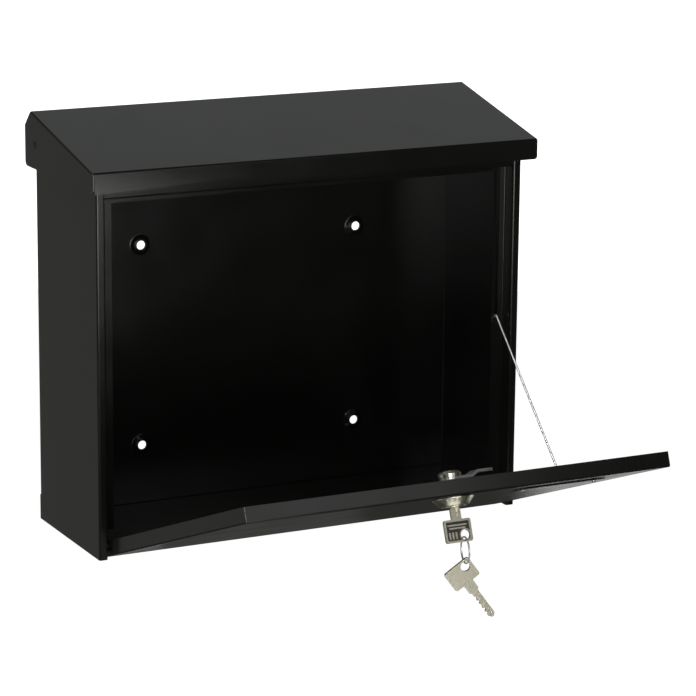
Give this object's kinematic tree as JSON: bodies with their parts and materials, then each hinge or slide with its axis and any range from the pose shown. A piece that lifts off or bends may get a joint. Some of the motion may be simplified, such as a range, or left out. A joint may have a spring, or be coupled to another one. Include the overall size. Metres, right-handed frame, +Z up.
{
  "type": "wall mounted mailbox",
  "caption": "Wall mounted sheet-metal mailbox with a lift-up roof flap and a front door that hinges at the bottom, held open by a stay rod, with a cam lock and keys.",
  "frame": {"origin": "centre of the four fixing holes, on the wall plane behind the box", "axes": "+X to the right as seen from the front, +Y into the wall, +Z up"},
  "size_m": [0.376, 0.3757, 0.3299],
  "materials": {
    "black_paint": "fine-grained powder coat, semi-matt",
    "zinc_steel": "bright zinc plated",
    "nickel": "nickel plated, satin",
    "rubber": "matt"
  },
  "bodies": {
    "housing": {"left_side_panel": "black_paint", "right_side_panel": "black_paint", "back_panel": "black_paint", "floor_pan": "black_paint", "front_rail": "black_paint", "left_lower_rail_rivet": "zinc_steel", "left_upper_rail_rivet": "zinc_steel", "right_lower_rail_rivet": "zinc_steel", "right_upper_rail_rivet": "zinc_steel", "left_lid_pivot": "black_paint", "right_lid_pivot": "black_paint", "left_door_pin": "zinc_steel", "right_door_pin": "zinc_steel", "left_lower_wall_spacer": "rubber", "left_upper_wall_spacer": "rubber", "right_lower_wall_spacer": "rubber", "right_upper_wall_spacer": "rubber"},
    "roof_lid": {"roof_lid": "black_paint"},
    "door": {"door_tray": "black_paint", "name_plate": "black_paint", "left_plate_rivet": "zinc_steel", "right_plate_rivet": "zinc_steel", "lock_rosette": "nickel", "lock_housing": "nickel", "lock_nut": "nickel"},
    "stay_rod": {"stay_rod": "zinc_steel", "rod_washer": "zinc_steel"},
    "lock_plug": {"lock_plug": "nickel", "cam_lever": "zinc_steel", "cam_nut": "nickel"},
    "key": {"key": "nickel"},
    "key_ring": {"key_ring": "zinc_steel"},
    "spare_key": {"spare_key": "nickel"}
  },
  "joints": [
    {"name": "lid_hinge", "type": "hinge", "parent": "housing", "child": "roof_lid", "pos_m": [0, -0.0265, 0.1705], "axis": [-1, 0, 0], "range_deg": [0, 62]},
    {"name": "door_hinge", "type": "hinge", "parent": "housing", "child": "door", "pos_m": [0, -0.12, -0.1245], "axis": [1, 0, 0], "range_deg": [-69.2, 0]},
    {"name": "rod_swing", "type": "hinge", "parent": "door", "child": "stay_rod", "pos_m": [0.167, -0.22516, -0.08509], "axis": [1, 0, 0], "range_deg": [0, 112.6]},
    {"name": "plug_turn", "type": "hinge", "parent": "door", "child": "lock_plug", "pos_m": [0, -0.35485, -0.04438], "axis": [0, -0.3551, -0.9348], "range_deg": [0, 90]},
    {"name": "key_slide", "type": "slide", "parent": "lock_plug", "child": "key", "axis": [0, -0.3551, -0.9348], "range_m": [0, 0.024]},
    {"name": "ring_swing", "type": "hinge", "parent": "key", "child": "key_ring", "pos_m": [0.0052, -0.36533, -0.07196], "axis": [0.9848, -0.1736, 0], "range_deg": [-50, 9]},
    {"name": "spare_key_swing", "type": "hinge", "parent": "key_ring", "child": "spare_key", "pos_m": [0.0052, -0.36533, -0.09116], "axis": [0.1736, 0.9848, 0], "range_deg": [-40, 40]}
  ],
  "couplings": [
    {"joint": "rod_swing", "follows": "door_hinge", "ratio": -1.6271}
  ]
}
